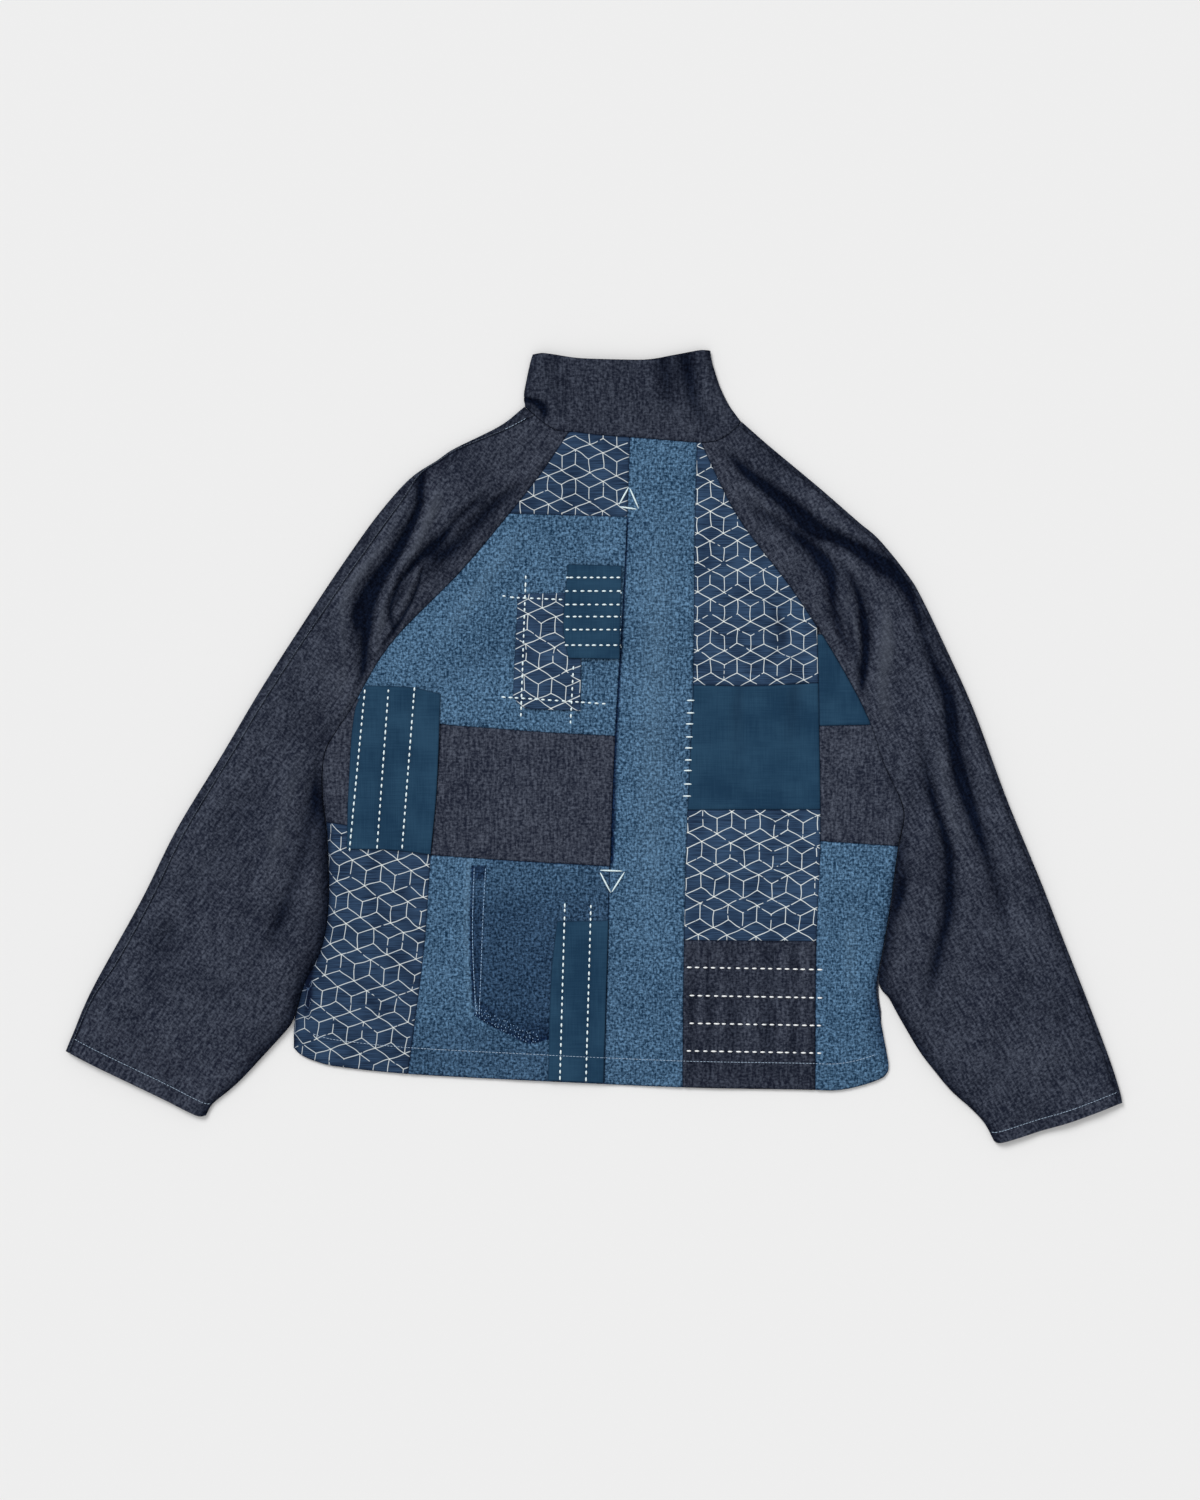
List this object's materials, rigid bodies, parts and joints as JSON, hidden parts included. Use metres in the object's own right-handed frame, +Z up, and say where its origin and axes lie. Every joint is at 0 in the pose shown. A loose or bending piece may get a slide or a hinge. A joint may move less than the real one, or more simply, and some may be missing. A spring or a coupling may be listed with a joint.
{
  "type": "patched boro jacket",
  "caption": "Patched boro jacket laid flat with its back up: raglan denim sleeves, stand collar, and a back pieced from denim, teal and printed cotton with sashiko stitching.",
  "frame": {"origin": "middle of the outline of the laid-out jacket, on the surface that it lies on", "axes": "+X across the jacket to the wearer's right sleeve, +Y from the hem to the collar, +Z up out of the back"},
  "size_m": [1.0549, 0.7909, 0.0093],
  "materials": {
    "dark_denim": "unwashed dark denim, slightly streaked, matt",
    "light_denim": "washed and mottled light denim, matt",
    "teal_cotton": "plain-woven cotton dyed a dark teal, matt",
    "printed_cotton": "navy slub cotton with a fine cream cube-lattice print, matt",
    "sashiko_thread": "matt off-white cotton embroidery thread",
    "seam_thread": "fine pale grey-blue sewing thread"
  },
  "bodies": {
    "root": {"back_print_upper_left": "printed_cotton", "back_light_upper_left": "light_denim", "back_dark_middle_left": "dark_denim", "back_dark_side_left": "dark_denim", "back_print_lower_left": "printed_cotton", "back_light_lower_left": "light_denim", "back_light_centre": "light_denim", "back_print_upper_right": "printed_cotton", "back_teal_middle_right": "teal_cotton", "back_print_lower_right": "printed_cotton", "back_dark_lower_right": "dark_denim", "back_teal_corner_right": "teal_cotton", "back_dark_side_right": "dark_denim", "back_light_side_right": "light_denim", "patch_teal_tall": "teal_cotton", "patch_print_small": "printed_cotton", "patch_teal_small": "teal_cotton", "patch_teal_strip": "teal_cotton", "front_left": "dark_denim", "front_right": "dark_denim", "sleeve_left_back": "dark_denim", "sleeve_left_front": "dark_denim", "sleeve_right_back": "dark_denim", "sleeve_right_front": "dark_denim", "collar_back": "dark_denim", "collar_front_left": "dark_denim", "collar_front_right": "dark_denim"}
  },
  "joints": []
}
